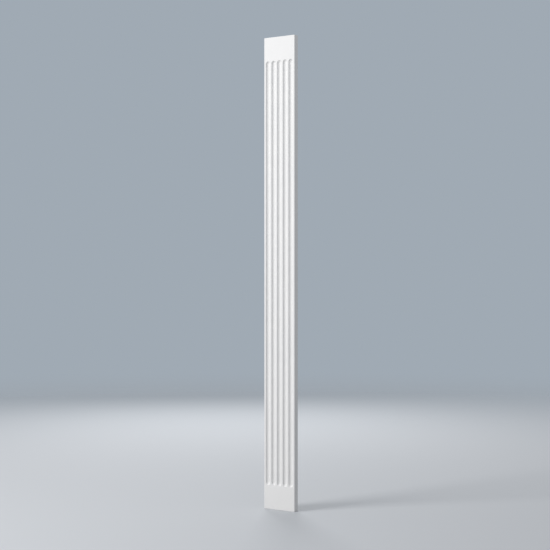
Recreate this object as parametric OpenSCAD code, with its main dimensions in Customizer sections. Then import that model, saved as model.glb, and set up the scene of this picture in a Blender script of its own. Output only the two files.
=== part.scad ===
// Fluted wall pilaster: one flat moulded board. Round-ended flutes run up its
// face and stop short of a plain block at the top and at the bottom.
//
// Millimetres, +Z up, +X to the right of someone who faces the front.
// The back lies flat on the wall plane y = 0 and the front faces -Y.
// The origin is on the back, at the middle of its bottom edge.

/* [Board] */
// Height of the board, from the floor or plinth line to the top end
board_h = 2286; // [900:1:3000]
// Width of the board across its face
board_w = 177.8; // [140:0.1:300]
// Projection of the face from the wall
board_t = 28.6; // [18:0.1:60]
// Radius of the eased front edges
arris_r = 0.8; // [0.3:0.1:3]

/* [Blocks] */
// Height of the plain block above the flutes
top_block_h = 114.3; // [20:0.1:400]
// Height of the plain block below the flutes
bottom_block_h = 114.3; // [20:0.1:400]

/* [Flutes] */
// Number of flutes across the face
flute_count = 5; // [1:1:7]
// Depth of a flute at its middle
flute_depth = 9.5; // [3:0.1:12]
// Width of the flat fillet between two flutes
fillet_w = 7.9; // [2:0.1:12]
// Width of the flat margin between the outer flutes and the board's sides
margin_w = 9.5; // [4:0.1:20]

/* [Hidden] */

// Cutters reach this far past the surface that they break through.
overshoot = 10;

// Facets of the small rounds along the front edges.
arris_facets = 48;

// The flutes share what the margins and the fillets leave of the width.
flute_w = (board_w - 2 * margin_w - (flute_count - 1) * fillet_w) / flute_count;
flute_pitch = flute_w + fillet_w;

// A flute is a circular groove: its radius gives that width and that depth at
// the face, and its axis runs in front of the face. A flute deeper than half its
// width has a half round for its bowl instead, and straight walls in front of it.
flute_r = flute_depth > flute_w / 2
    ? flute_w / 2
    : (pow(flute_w / 2, 2) + pow(flute_depth, 2)) / (2 * flute_depth);
flute_axis_y = -board_t + flute_depth - flute_r;

// The rounded ends are centred half a flute's width inside the two blocks.
flute_z0 = bottom_block_h + flute_w / 2;
flute_run = board_h - bottom_block_h - top_block_h - flute_w;

// The cutter's facets stay this close to its true round, however wide it is.
facet_sag = 0.05;
flute_facets = max(96, ceil(180 / acos(1 - facet_sag / flute_r)));

function flute_x(i) = (i - (flute_count - 1) / 2) * flute_pitch;

// Cross-section of the board in plan, x by y, with both front corners eased.
module plan_outline() {
    translate([-board_w / 2, -board_t + arris_r]) square([board_w, board_t - arris_r]);
    translate([-board_w / 2 + arris_r, -board_t]) square([board_w - 2 * arris_r, board_t]);
    for (side = [-1, 1])
        translate([side * (board_w / 2 - arris_r), -board_t + arris_r]) circle(r = arris_r, $fn = arris_facets);
}

// Waste above one end of the board that leaves its front edge eased. The edge
// is at z = 0 here, with the board below it.
module end_arris_waste() {
    difference() {
        translate([-board_w, -board_t - overshoot, -arris_r])
            cube([2 * board_w, overshoot + arris_r, arris_r + overshoot]);
        translate([-2 * board_w, -board_t + arris_r, -arris_r])
            rotate([0, 90, 0]) cylinder(r = arris_r, h = 4 * board_w, $fn = arris_facets);
    }
}

// Body of the board, before the flutes are cut.
module board() {
    difference() {
        linear_extrude(height = board_h) plan_outline();
        translate([0, 0, board_h]) end_arris_waste();
        mirror([0, 0, 1]) end_arris_waste();
    }
}

// Half of a flute's cross-section: x out from its middle, and y from its axis
// into the board. The bowl is a quarter round, with a straight wall in front.
module flute_half() {
    intersection() {
        circle(r = flute_r, $fn = flute_facets);
        square(flute_r);
    }
    translate([0, -flute_r - overshoot]) square([flute_r, flute_r + overshoot]);
}

// Rounded end of a flute, below z = 0: the half section turned about its middle.
module flute_nose() {
    rotate([-90, 0, 0]) rotate_extrude(angle = 180, $fn = flute_facets) flute_half();
}

// Cutter of one flute, from its lower nose to its upper one.
module flute() {
    translate([0, flute_axis_y, flute_z0]) {
        flute_nose();
        linear_extrude(height = flute_run)
            for (side = [0, 1]) mirror([side, 0]) flute_half();
        translate([0, 0, flute_run]) mirror([0, 0, 1]) flute_nose();
    }
}

module pilaster() {
    color("white")
    difference() {
        board();
        for (i = [0 : flute_count - 1]) translate([flute_x(i), 0, 0]) flute();
    }
}

pilaster();
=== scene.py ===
"""Fluted wall pilaster: a white primed board with round-ended flutes, upright on a pale studio floor.

Metres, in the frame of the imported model: +Z up, the front faces -Y and the flat back lies on y = 0.
"""
import math

import bpy
import numpy as np
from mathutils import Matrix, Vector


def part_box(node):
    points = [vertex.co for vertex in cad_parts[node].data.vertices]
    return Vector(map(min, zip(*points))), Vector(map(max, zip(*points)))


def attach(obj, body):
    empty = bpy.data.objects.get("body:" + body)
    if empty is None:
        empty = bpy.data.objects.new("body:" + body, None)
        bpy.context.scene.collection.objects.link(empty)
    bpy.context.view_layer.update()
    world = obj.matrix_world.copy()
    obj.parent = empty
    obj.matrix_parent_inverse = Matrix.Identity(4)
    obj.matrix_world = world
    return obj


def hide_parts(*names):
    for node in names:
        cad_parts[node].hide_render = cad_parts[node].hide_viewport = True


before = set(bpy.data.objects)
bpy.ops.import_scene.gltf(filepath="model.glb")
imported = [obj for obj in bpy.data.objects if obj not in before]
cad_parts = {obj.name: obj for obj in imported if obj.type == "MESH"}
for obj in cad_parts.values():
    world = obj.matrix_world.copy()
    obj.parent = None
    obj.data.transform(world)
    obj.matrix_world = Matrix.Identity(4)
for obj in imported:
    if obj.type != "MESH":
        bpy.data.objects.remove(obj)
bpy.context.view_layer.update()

# ---------------------------------------------------------------- sizes of the board

LOW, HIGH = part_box("pilaster")
BOARD_W = HIGH.x - LOW.x
BOARD_H = HIGH.z - LOW.z
FACE_Y = LOW.y
BACK_Y = HIGH.y

FRONT_ARRIS = 0.0008
BACK_ARRIS = 0.0005

FLUTE_COUNT = 5
FLUTE_DEPTH = 0.0095
FLUTE_LIP = 0.0003
FILLET_W = 0.0079
MARGIN_W = 0.0095
BLOCK_H = 0.1143

FLUTE_W = (BOARD_W - 2 * MARGIN_W - (FLUTE_COUNT - 1) * FILLET_W) / FLUTE_COUNT
FLUTE_PITCH = FLUTE_W + FILLET_W
FLUTE_R = ((FLUTE_W / 2) ** 2 + FLUTE_DEPTH**2) / (2 * FLUTE_DEPTH)
FLUTE_Z0 = LOW.z + BLOCK_H + FLUTE_W / 2
FLUTE_Z1 = HIGH.z - BLOCK_H - FLUTE_W / 2

# ---------------------------------------------------------------- fineness of the mesh

STATIONS = 48
NOSE_STEPS = 24
NOSE_TOP_STEPS = 4
BOWL_STEPS = 22
LIP_STEPS = 5
FLAT_STEPS = 3
ARRIS_STEPS = 5
SIDE_STEPS = 3
BACK_STEPS = 4
WELD = 1e-7


# ---------------------------------------------------------------- mesh tools


def grid_faces(rows, columns):
    """Triangles of a grid of rows x columns points: each cell is cut along one diagonal."""
    index = np.arange(rows * columns).reshape(rows, columns)
    a = index[:-1, :-1].ravel()
    b = index[:-1, 1:].ravel()
    c = index[1:, 1:].ravel()
    d = index[1:, :-1].ravel()
    return np.concatenate([np.stack([a, b, c], 1), np.stack([a, c, d], 1)])


def welded(patches):
    """Joins patches of (points, normals, triangles) at the points that they share.

    Points are the same when they agree to WELD. A triangle that a pole or a seam has shrunk
    to a line is dropped.
    """
    points = np.concatenate([p for p, _, _ in patches])
    normals = np.concatenate([n for _, n, _ in patches])
    starts = np.cumsum([0] + [len(p) for p, _, _ in patches[:-1]])
    faces = np.concatenate([f + start for (_, _, f), start in zip(patches, starts)])
    _, first, same = np.unique(
        np.round(points / WELD).astype(np.int64), axis=0, return_index=True, return_inverse=True
    )
    faces = same.reshape(-1)[faces]
    a, b, c = faces.T
    faces = faces[(a != b) & (b != c) & (c != a)]
    return points[first], normals[first], faces


def mesh_piece(name, points, normals, faces):
    """A mesh object at the origin from arrays, with a smooth normal at each point."""
    mesh = bpy.data.meshes.new(name)
    mesh.vertices.add(len(points))
    mesh.vertices.foreach_set("co", points.astype(np.float32).ravel())
    mesh.loops.add(faces.size)
    mesh.loops.foreach_set("vertex_index", faces.astype(np.int32).ravel())
    mesh.polygons.add(len(faces))
    mesh.polygons.foreach_set("loop_start", np.arange(0, faces.size, 3, dtype=np.int32))
    mesh.update(calc_edges=True)
    mesh.validate()
    mesh.shade_smooth()
    mesh.normals_split_custom_set_from_vertices(normals.astype(np.float32))
    piece = bpy.data.objects.new(name, mesh)
    bpy.context.collection.objects.link(piece)
    return piece


# ---------------------------------------------------------------- the board's surface


def flute_profile():
    """Half of a flute's cross-section, from its middle out to the flat face.

    The bowl is an arc of FLUTE_R whose axis stands in front of the face. A small round of
    FLUTE_LIP touches both the bowl and the face and eases the edge between them. Each point is
    (distance from the middle, depth behind the face, and the normal's two parts in those axes).
    """
    axis = FLUTE_R - FLUTE_DEPTH
    lip_at = math.sqrt((FLUTE_R + FLUTE_LIP) ** 2 - (axis + FLUTE_LIP) ** 2)
    lip_turn = math.asin(lip_at / (FLUTE_R + FLUTE_LIP))
    turn = np.linspace(0, lip_turn, BOWL_STEPS + 1)
    bowl = np.stack(
        [FLUTE_R * np.sin(turn), FLUTE_R * np.cos(turn) - axis, -np.sin(turn), -np.cos(turn)], 1
    )
    turn = np.linspace(lip_turn, 0, LIP_STEPS + 1)[1:]
    lip = np.stack(
        [
            lip_at - FLUTE_LIP * np.sin(turn),
            FLUTE_LIP - FLUTE_LIP * np.cos(turn),
            -np.sin(turn),
            -np.cos(turn),
        ],
        1,
    )
    return np.concatenate([bowl, lip])


def half_loop(to_side, to_end):
    """A quarter of the way round a flute, from its side to the middle of its end.

    Gives the directions as angles from level, even on the nose, and where rays in those
    directions leave a rectangle that reaches to_side sideways and to_end lengthways.
    """
    corner = math.atan2(to_end, to_side)
    angle = np.concatenate(
        [
            np.linspace(0, corner, NOSE_STEPS + 1),
            np.linspace(corner, math.pi / 2, NOSE_TOP_STEPS + 1)[1:],
        ]
    )
    side = np.where(angle <= corner, to_side, to_end / np.tan(np.maximum(angle, corner)))
    end = np.where(angle <= corner, to_side * np.tan(np.minimum(angle, corner)), to_end)
    return angle, side, end


def cell_loop(left, right):
    """The closed loop round one flute, as whole arrays.

    Gives the direction from the flute's middle line (x, z), the z on the middle line that it
    starts from, and the matching point on the rectangle that bounds the flute's own stretch of
    the face, whose sides lie left and right of the middle line.
    """
    rise = np.linspace(FLUTE_Z0, FLUTE_Z1, STATIONS + 1)
    face_top = HIGH.z - FRONT_ARRIS
    face_bottom = LOW.z + FRONT_ARRIS
    quarters = [
        (right, 1, face_top - FLUTE_Z1, FLUTE_Z1, 1, False),
        (left, -1, face_top - FLUTE_Z1, FLUTE_Z1, 1, True),
        (left, -1, FLUTE_Z0 - face_bottom, FLUTE_Z0, -1, False),
        (right, 1, FLUTE_Z0 - face_bottom, FLUTE_Z0, -1, True),
    ]
    runs = []
    for to_side, sideways, to_end, middle, upward, backwards in quarters:
        angle, side, end = half_loop(to_side, to_end)
        run = np.stack(
            [
                sideways * np.cos(angle),
                upward * np.sin(angle),
                np.full_like(angle, middle),
                sideways * side,
                middle + upward * end,
            ],
            1,
        )
        runs.append(run[::-1] if backwards else run)
    straight_down = np.stack(
        [-np.ones_like(rise), np.zeros_like(rise), rise, np.full_like(rise, -left), rise], 1
    )[::-1]
    straight_up = np.stack(
        [np.ones_like(rise), np.zeros_like(rise), rise, np.full_like(rise, right), rise], 1
    )
    return np.concatenate(
        [
            runs[0],
            runs[1][1:],
            straight_down[1:],
            runs[2][1:],
            runs[3][1:],
            straight_up[1:],
        ]
    )


def fluted_cell(middle_x, left, right):
    """One flute and the stretch of flat face round it.

    Two parameters: the way round the flute's outline, and the way out along flute_profile(),
    turned so that it always leaves the outline squarely. Past the profile the rows run over
    the flat face to the rectangle that bounds the cell.
    """
    loop = cell_loop(left, right)
    way_x, way_z, from_z, edge_x, edge_z = (column[:, None] for column in loop.T)
    out, depth, normal_out, normal_depth = flute_profile().T
    x = way_x * out
    z = from_z + way_z * out
    share = np.linspace(0, 1, FLAT_STEPS + 1)[1:]
    x = np.concatenate([x, x[:, -1:] + (edge_x - x[:, -1:]) * share], 1)
    z = np.concatenate([z, z[:, -1:] + (edge_z - z[:, -1:]) * share], 1)
    flat = np.zeros(FLAT_STEPS)
    depth = np.concatenate([depth, flat])
    normal_out = np.concatenate([normal_out, flat])
    normal_depth = np.concatenate([normal_depth, flat - 1])
    y = np.broadcast_to(FACE_Y + depth, x.shape)
    points = np.stack([middle_x + x, y, z], 2)
    normals = np.stack(
        [way_x * normal_out, np.broadcast_to(normal_depth, x.shape), way_z * normal_out], 2
    )
    rows, columns = x.shape
    return points.reshape(-1, 3), normals.reshape(-1, 3), grid_faces(rows, columns)


def rim_loop(cells):
    """The closed outline of the flat face, with its outward directions.

    The points are those where the fluted cells reach the outline, sorted round it, so that the
    rim shares them. Each corner stands once for each step of its round.
    """
    half_w = BOARD_W / 2 - FRONT_ARRIS
    top = HIGH.z - FRONT_ARRIS
    bottom = LOW.z + FRONT_ARRIS
    face = np.unique(np.round(np.concatenate([p for p, _, _ in cells]) / WELD), axis=0) * WELD
    flat = np.abs(face[:, 1] - FACE_Y) < WELD
    on_side = flat & (np.abs(face[:, 0] - half_w) < WELD)
    on_top = flat & (np.abs(face[:, 2] - top) < WELD)
    side_z = np.unique(face[on_side, 2])
    top_x = np.unique(face[on_top, 0])
    sides = [
        (np.full_like(side_z, half_w), side_z, 0.0),
        (top_x[::-1], np.full_like(top_x, top), math.pi / 2),
        (np.full_like(side_z, -half_w), side_z[::-1], math.pi),
        (top_x, np.full_like(top_x, bottom), 3 * math.pi / 2),
    ]
    x, z, angle = [], [], []
    for along_x, along_z, facing in sides:
        turns = facing + np.linspace(0, math.pi / 2, ARRIS_STEPS + 1)[1:-1]
        x += [along_x, np.full_like(turns, along_x[-1])]
        z += [along_z, np.full_like(turns, along_z[-1])]
        angle += [np.full_like(along_x, facing), turns]
    x, z, angle = (np.concatenate(part) for part in (x, z, angle))
    return (np.append(values, values[0]) for values in (x, z, angle))


def rim_profile():
    """The board's edge from the flat face to the flat back.

    A quarter round of FRONT_ARRIS, the straight side, and a quarter round of BACK_ARRIS. Each
    point is (distance out from the face's outline, y, and the normal's two parts).
    """
    turn = np.linspace(0, math.pi / 2, ARRIS_STEPS + 1)
    front = np.stack(
        [
            FRONT_ARRIS * np.sin(turn),
            FACE_Y + FRONT_ARRIS * (1 - np.cos(turn)),
            np.sin(turn),
            -np.cos(turn),
        ],
        1,
    )
    back = np.stack(
        [
            FRONT_ARRIS - BACK_ARRIS * (1 - np.cos(turn)),
            BACK_Y - BACK_ARRIS * (1 - np.sin(turn)),
            np.cos(turn),
            np.sin(turn),
        ],
        1,
    )
    share = np.linspace(0, 1, SIDE_STEPS + 1)[1:-1, None]
    side = front[-1] + (back[0] - front[-1]) * share
    return np.concatenate([front, side, back])


def rim_and_back(cells):
    """The edge all round the board and its flat back.

    Two parameters: the way round the outline, and the way out along rim_profile(). The back
    closes like a hipped roof with no rise: each point runs to the nearest point of a ridge on
    the middle line, which stops half a width short of both ends.
    """
    x, z, angle = (values[:, None] for values in rim_loop(cells))
    out, y, normal_out, normal_y = rim_profile().T
    edge_x = x + np.cos(angle) * out
    edge_z = z + np.sin(angle) * out
    ridge_z = np.clip(z, LOW.z + BOARD_W / 2, HIGH.z - BOARD_W / 2)
    share = np.linspace(0, 1, BACK_STEPS + 1)[1:]
    back_x = edge_x[:, -1:] * (1 - share)
    back_z = edge_z[:, -1:] + (ridge_z - edge_z[:, -1:]) * share
    flat = np.zeros(BACK_STEPS)
    y = np.concatenate([y, flat + BACK_Y])
    normal_out = np.concatenate([normal_out, flat])
    normal_y = np.concatenate([normal_y, flat + 1])
    points = np.stack(
        [
            np.concatenate([edge_x, back_x], 1),
            np.broadcast_to(y, (len(x), len(y))),
            np.concatenate([edge_z, back_z], 1),
        ],
        2,
    )
    normals = np.stack(
        [
            np.cos(angle) * normal_out,
            np.broadcast_to(normal_y, (len(x), len(y))),
            np.sin(angle) * normal_out,
        ],
        2,
    )
    rows, columns = points.shape[:2]
    return points.reshape(-1, 3), normals.reshape(-1, 3), grid_faces(rows, columns)


def fluted_board():
    """The whole board as one closed surface: a cell for each flute, then the rim and the back."""
    to_edge = BOARD_W / 2 - FRONT_ARRIS
    cells = []
    for i in range(FLUTE_COUNT):
        middle_x = (i - (FLUTE_COUNT - 1) / 2) * FLUTE_PITCH
        left = to_edge + middle_x if i == 0 else FLUTE_PITCH / 2
        right = to_edge - middle_x if i == FLUTE_COUNT - 1 else FLUTE_PITCH / 2
        cells.append(fluted_cell(middle_x, left, right))
    return mesh_piece("fluted_board", *welded(cells + [rim_and_back(cells)]))


# ---------------------------------------------------------------- materials

PRIMER_SHADE = (0.845, 0.847, 0.85, 1)
PRIMER_WHITE = (0.87, 0.87, 0.868, 1)
PRIMER_ROUGH = (0.5, 0.58)
PRIMER_SPECULAR = 0.4
FOAM_SHADE = (0.738, 0.72, 0.658, 1)
FOAM_LIGHT = (0.795, 0.78, 0.722, 1)
FOAM_ROUGH = 0.85
# Painted shade: the colour of the opened bubbles' pits, darker than the foam, stands in for the shade
# inside them.
BUBBLE_PAINTED_SHADE = (0.55, 0.525, 0.45, 1)

# Bumps or cells to the metre. The streaks are many across the board and few along it.
SPRAY_SCALE = 620.0
STIPPLE_SCALE = 150.0
CLOUD_SCALE = 9.0
BUBBLE_SCALE = 90.0
STREAK_STRETCH = (170.0, 170.0, 5.0)

# A noise pattern lies between these two nearly everywhere.
NOISE_RANGE = (0.3, 0.7)

# Each cell draws a lot between 0 and 1. These lots give its bubble these radii, in parts of a
# cell, and a radius under zero means no bubble. Its edge softens over the rim.
BUBBLE_LOTS = (0.45, 1.0)
BUBBLE_RADII = (-0.05, 0.2)
BUBBLE_RIM = 0.03

# The primer fades out between these distances in front of the back, give or take the waver.
PRIMER_FADE = (0.0008, 0.0002)
PRIMER_WAVER = 0.0002

# Width of the overspray round the back, how far its edge wanders, how far it is speckled,
# and the share of bare foam at the border.
OVERSPRAY = 0.012
OVERSPRAY_WANDER = 0.3 * OVERSPRAY
OVERSPRAY_SPECKLE = 0.1 * OVERSPRAY
BARE_AT_BORDER = 0.1

# Strength and depth of each bump, from the finest to the deepest.
SPRAY_BUMP = (0.35, 0.00004)
STIPPLE_BUMP = (0.4, 0.00008)
PLANING_BUMP = (0.5, 0.0003)
PIT_BUMP = (0.8, 0.0006)

# Places of a Mix node's sockets, because their names repeat.
MIX_VALUE_A = 2
MIX_VALUE_B = 3
MIX_VALUE_RESULT = 0
MIX_COLOUR_A = 6
MIX_COLOUR_B = 7
MIX_COLOUR_RESULT = 2


def add_node(tree, kind, inputs=(), **settings):
    """A node with its settings, and its sockets given as (name or number, value or output)."""
    node = tree.nodes.new(kind)
    for key, value in settings.items():
        setattr(node, key, value)
    for socket, value in inputs:
        if isinstance(value, bpy.types.NodeSocket):
            tree.links.new(value, node.inputs[socket])
        else:
            node.inputs[socket].default_value = value
    return node


def noise(tree, place, scale, detail=2.0, roughness=0.5):
    """Output of a noise pattern with about scale bumps to the metre."""
    inputs = [("Vector", place), ("Scale", scale), ("Detail", detail), ("Roughness", roughness)]
    return add_node(tree, "ShaderNodeTexNoise", inputs).outputs["Fac"]


def spread(tree, value, start, end=(0.0, 1.0), smooth=False):
    """value taken from the range start to the range end, and held at their ends."""
    inputs = [("Value", value), ("From Min", start[0]), ("From Max", start[1])]
    inputs += [("To Min", end[0]), ("To Max", end[1])]
    kind = "SMOOTHSTEP" if smooth else "LINEAR"
    return add_node(tree, "ShaderNodeMapRange", inputs, interpolation_type=kind).outputs["Result"]


def blend_value(tree, share, first, second):
    """Value that goes from first to second as share goes from 0 to 1."""
    inputs = [("Factor", share), (MIX_VALUE_A, first), (MIX_VALUE_B, second)]
    return add_node(tree, "ShaderNodeMix", inputs).outputs[MIX_VALUE_RESULT]


def blend_colour(tree, share, first, second):
    """Colour that goes from first to second as share goes from 0 to 1."""
    inputs = [("Factor", share), (MIX_COLOUR_A, first), (MIX_COLOUR_B, second)]
    return add_node(tree, "ShaderNodeMix", inputs, data_type="RGBA").outputs[MIX_COLOUR_RESULT]


def result_of(tree, operation, *values):
    """Result of a sum, a product or another operation on one or two values."""
    inputs = list(enumerate(values))
    return add_node(tree, "ShaderNodeMath", inputs, operation=operation).outputs[0]


def bump(tree, strength_and_depth, height, under=None, invert=False):
    """Normal with a bump of that height pattern, laid over the normal under it."""
    strength, depth = strength_and_depth
    inputs = [("Strength", strength), ("Distance", depth), ("Height", height)]
    if under is not None:
        inputs.append(("Normal", under))
    return add_node(tree, "ShaderNodeBump", inputs, invert=invert).outputs[0]


def distance_inside(tree, value, middle, half):
    """How far value is inside the stretch that reaches half to either side of middle."""
    away = result_of(tree, "ABSOLUTE", result_of(tree, "SUBTRACT", value, middle))
    return result_of(tree, "SUBTRACT", half, away)


def air_bubbles(tree, place):
    """1 in the middle of an opened air bubble and 0 off it.

    Each cell of a cell pattern has at most one bubble, whose radius goes by the cell's lot.
    """
    cells = add_node(tree, "ShaderNodeTexVoronoi", [("Vector", place), ("Scale", BUBBLE_SCALE)])
    lot = add_node(tree, "ShaderNodeSeparateColor", [(0, cells.outputs["Color"])]).outputs[0]
    radius = spread(tree, lot, BUBBLE_LOTS, BUBBLE_RADII)
    inside = result_of(tree, "SUBTRACT", radius, cells.outputs["Distance"])
    return spread(tree, inside, (0.0, BUBBLE_RIM), smooth=True)


def bare_share(tree, place, stipple, cloud):
    """1 on the bare foam of the back and 0 where there is primer.

    The primer stops at the back's edge in an uneven line, and its overspray thins away over
    OVERSPRAY inside the border of the back.
    """
    across, depth, along = add_node(tree, "ShaderNodeSeparateXYZ", [(0, place)]).outputs
    waver = spread(tree, stipple, NOISE_RANGE, (-PRIMER_WAVER, PRIMER_WAVER))
    reach = result_of(tree, "ADD", depth, waver)
    fade = (BACK_Y - PRIMER_FADE[0], BACK_Y - PRIMER_FADE[1])
    back = spread(tree, reach, fade, smooth=True)

    to_side = distance_inside(tree, across, (LOW.x + HIGH.x) / 2, BOARD_W / 2)
    to_end = distance_inside(tree, along, (LOW.z + HIGH.z) / 2, BOARD_H / 2)
    to_border = result_of(tree, "MINIMUM", to_side, to_end)
    wander = spread(tree, cloud, NOISE_RANGE, (-OVERSPRAY_WANDER, OVERSPRAY_WANDER))
    speckle = spread(tree, stipple, NOISE_RANGE, (-OVERSPRAY_SPECKLE, OVERSPRAY_SPECKLE))
    ragged = result_of(tree, "ADD", to_border, wander)
    speckled = result_of(tree, "ADD", ragged, speckle)
    clear_of_spray = spread(tree, speckled, (0.0, OVERSPRAY), (BARE_AT_BORDER, 1.0), smooth=True)
    return result_of(tree, "MULTIPLY", back, clear_of_spray)


def primed_foam():
    """Factory primer, sprayed white and matte, over moulded foam whose bare back is off-white.

    The back is planed: it has faint streaks along the board and the bubbles that the plane
    opened, which are coloured darker as a painted shade in the pits. Four bumps lie over each other:
    spray, stipple, the plane's streaks and the pits.
    """
    material = bpy.data.materials.new("primed_foam")
    material.use_nodes = True
    tree = material.node_tree
    shader = tree.nodes["Principled BSDF"]
    place = add_node(tree, "ShaderNodeTexCoord").outputs["Object"]

    spray = noise(tree, place, SPRAY_SCALE, detail=3.0)
    stipple = noise(tree, place, STIPPLE_SCALE, detail=2.0)
    cloud = noise(tree, place, CLOUD_SCALE, detail=4.0, roughness=0.6)
    inputs = [(0, place), ("Scale", STREAK_STRETCH)]
    stretched = add_node(tree, "ShaderNodeMapping", inputs).outputs[0]
    streaks = noise(tree, stretched, scale=1.0, detail=5.0, roughness=0.65)
    bubbles = air_bubbles(tree, place)
    bare = bare_share(tree, place, stipple, cloud)

    primer = blend_colour(tree, spread(tree, cloud, NOISE_RANGE), PRIMER_SHADE, PRIMER_WHITE)
    foam = blend_colour(tree, spread(tree, streaks, NOISE_RANGE), FOAM_SHADE, FOAM_LIGHT)
    # Painted shade: the opened bubbles are coloured darker where shade falls in the pits.
    foam_with_painted_pit_shade = blend_colour(tree, bubbles, foam, BUBBLE_PAINTED_SHADE)
    colour = blend_colour(tree, bare, primer, foam_with_painted_pit_shade)
    tree.links.new(colour, shader.inputs["Base Color"])

    primer_rough = spread(tree, cloud, NOISE_RANGE, PRIMER_ROUGH)
    rough = blend_value(tree, bare, primer_rough, FOAM_ROUGH)
    tree.links.new(rough, shader.inputs["Roughness"])

    fine = bump(tree, SPRAY_BUMP, spray)
    broad = bump(tree, STIPPLE_BUMP, stipple, under=fine)
    scratched = result_of(tree, "MULTIPLY", streaks, bare)
    opened = result_of(tree, "MULTIPLY", bubbles, bare)
    planing = bump(tree, PLANING_BUMP, scratched, under=broad)
    pits = bump(tree, PIT_BUMP, opened, under=planing, invert=True)
    tree.links.new(pits, shader.inputs["Normal"])
    shader.inputs["Specular IOR Level"].default_value = PRIMER_SPECULAR
    return material


# ---------------------------------------------------------------- studio

FLOOR_SPOKES = 96
FLOOR_RINGS = 24
FLOOR_R = 9.0
FLOOR_CLEAR_R = 2.0
FLOOR_TONE = (0.6, 0.62, 0.645, 1)
FLOOR_BOUNCE = (0.27, 0.27, 0.27, 1)
FLOOR_ROUGH = 0.9
FLOOR_SPECULAR = 0.1
BACKDROP = (0.352, 0.402, 0.455, 1)
AMBIENT = (0.487, 0.5, 0.52, 1)
KEY_AT = (-2.34, -4.32, 3.58)
KEY_SIZE = 2.3
KEY_POWER = 140.0
KEY_COLOUR = (1.0, 0.982, 0.965)
LOW_LIGHT_AT = (-2.0, -4.0, 0.3)
LOW_LIGHT_SIZE = 2.0
LOW_LIGHT_POWER = 62.0
LOW_LIGHT_COLOUR = (1.0, 0.99, 0.98)
BACK_LIGHT_AT = (-3.2, 3.6, 2.9)
BACK_LIGHT_SIZE = 2.0
BACK_LIGHT_POWER = 90.0
BACK_LIGHT_COLOUR = (1.0, 1.0, 1.0)


def floor_material():
    """Pale matt floor that thins away into the backdrop between two radii.

    It throws back less light on the board than it shows, as a floor with dark flags beside it.
    """
    material = bpy.data.materials.new("studio_floor")
    material.use_nodes = True
    tree = material.node_tree
    shader = tree.nodes["Principled BSDF"]
    lit_by = add_node(tree, "ShaderNodeLightPath").outputs["Is Diffuse Ray"]
    tone = blend_colour(tree, lit_by, FLOOR_TONE, FLOOR_BOUNCE)
    tree.links.new(tone, shader.inputs["Base Color"])
    shader.inputs["Roughness"].default_value = FLOOR_ROUGH
    shader.inputs["Specular IOR Level"].default_value = FLOOR_SPECULAR
    place = add_node(tree, "ShaderNodeTexCoord").outputs["Object"]
    radius = add_node(tree, "ShaderNodeVectorMath", [(0, place)], operation="LENGTH").outputs["Value"]
    cover = spread(tree, radius, (FLOOR_CLEAR_R, FLOOR_R), (1.0, 0.0), smooth=True)
    tree.links.new(cover, shader.inputs["Alpha"])
    return material


def studio_floor():
    """Disc on z = 0 under the board: rings at growing distances, the same way round."""
    turn = np.linspace(0, 2 * math.pi, FLOOR_SPOKES + 1)[:, None]
    turn[-1] = 0
    ring = np.linspace(0, 1, FLOOR_RINGS + 1) ** 2 * FLOOR_R
    height = np.full((FLOOR_SPOKES + 1, FLOOR_RINGS + 1), LOW.z)
    points = np.stack([ring * np.cos(turn), ring * np.sin(turn), height], 2)
    normals = np.broadcast_to([0.0, 0.0, 1.0], points.shape)
    faces = grid_faces(FLOOR_SPOKES + 1, FLOOR_RINGS + 1)
    floor = mesh_piece("floor", *welded([(points.reshape(-1, 3), normals.reshape(-1, 3), faces)]))
    floor.data.materials.append(floor_material())


def aim(item, target):
    """Turns a lamp, which shines along its own -Z, towards target.

    It is tilted up from straight down by the slope of the way there, then turned about +Z.
    """
    way = np.array(target) - np.array(item.location)
    level = math.hypot(way[0], way[1])
    item.rotation_euler = (math.atan2(level, -way[2]), 0, math.atan2(-way[0], way[1]))


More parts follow.
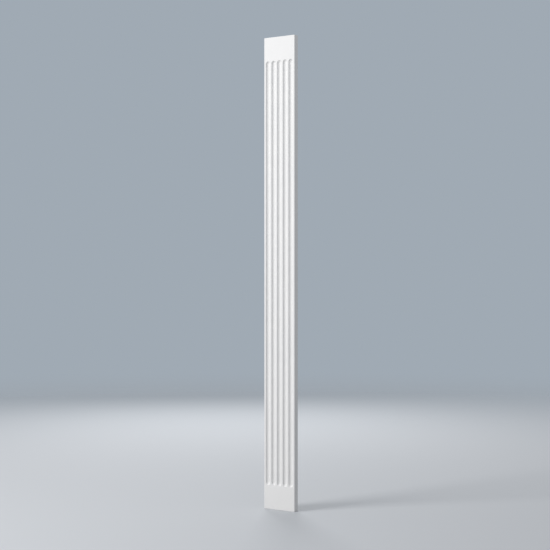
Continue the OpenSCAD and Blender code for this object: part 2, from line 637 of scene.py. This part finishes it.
def soft_box(name, place, size, power, colour, target):
    """Square area lamp with its middle at place, facing target."""
    lamp = bpy.data.lights.new(name, "AREA")
    lamp.shape = "SQUARE"
    lamp.size = size
    lamp.energy = power
    lamp.color = colour
    box = bpy.data.objects.new(name, lamp)
    box.location = place
    aim(box, target)
    bpy.context.collection.objects.link(box)


def studio_air():
    """Even soft light from all round, seen by the camera as a plain blue-grey backdrop."""
    world = bpy.data.worlds.new("studio_air")
    world.use_nodes = True
    tree = world.node_tree
    seen = add_node(tree, "ShaderNodeLightPath").outputs["Is Camera Ray"]
    colour = blend_colour(tree, seen, AMBIENT, BACKDROP)
    tree.links.new(colour, tree.nodes["Background"].inputs["Color"])
    bpy.context.scene.world = world


# ---------------------------------------------------------------- camera

LENS_MM = 86.5
VIEW_AZIMUTH = math.radians(35.2)
VIEW_DISTANCE = 6.393
EYE_Z = 1.157
AIM_X = -0.025
LENS_DROP = 0.0084


def studio_camera():
    """Level camera to the right of the board, far off, with a long lens."""
    lens = bpy.data.cameras.new("camera")
    lens.lens = LENS_MM
    lens.shift_y = -LENS_DROP
    camera = bpy.data.objects.new("camera", lens)
    camera.location = (
        AIM_X + VIEW_DISTANCE * math.sin(VIEW_AZIMUTH),
        FACE_Y - VIEW_DISTANCE * math.cos(VIEW_AZIMUTH),
        LOW.z + EYE_Z,
    )
    camera.rotation_euler = (math.pi / 2, 0, VIEW_AZIMUTH)
    bpy.context.collection.objects.link(camera)
    bpy.context.scene.camera = camera


# ---------------------------------------------------------------- the scene

board = fluted_board()
board.data.materials.append(primed_foam())
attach(board, "root")
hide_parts("pilaster")

studio_floor()
studio_air()
MIDDLE = (0, FACE_Y, LOW.z + BOARD_H / 2)
soft_box("key_light", KEY_AT, KEY_SIZE, KEY_POWER, KEY_COLOUR, MIDDLE)
soft_box("low_light", LOW_LIGHT_AT, LOW_LIGHT_SIZE, LOW_LIGHT_POWER, LOW_LIGHT_COLOUR, MIDDLE)
soft_box("back_light", BACK_LIGHT_AT, BACK_LIGHT_SIZE, BACK_LIGHT_POWER, BACK_LIGHT_COLOUR, MIDDLE)
studio_camera()
bpy.context.scene.view_settings.view_transform = "Standard"
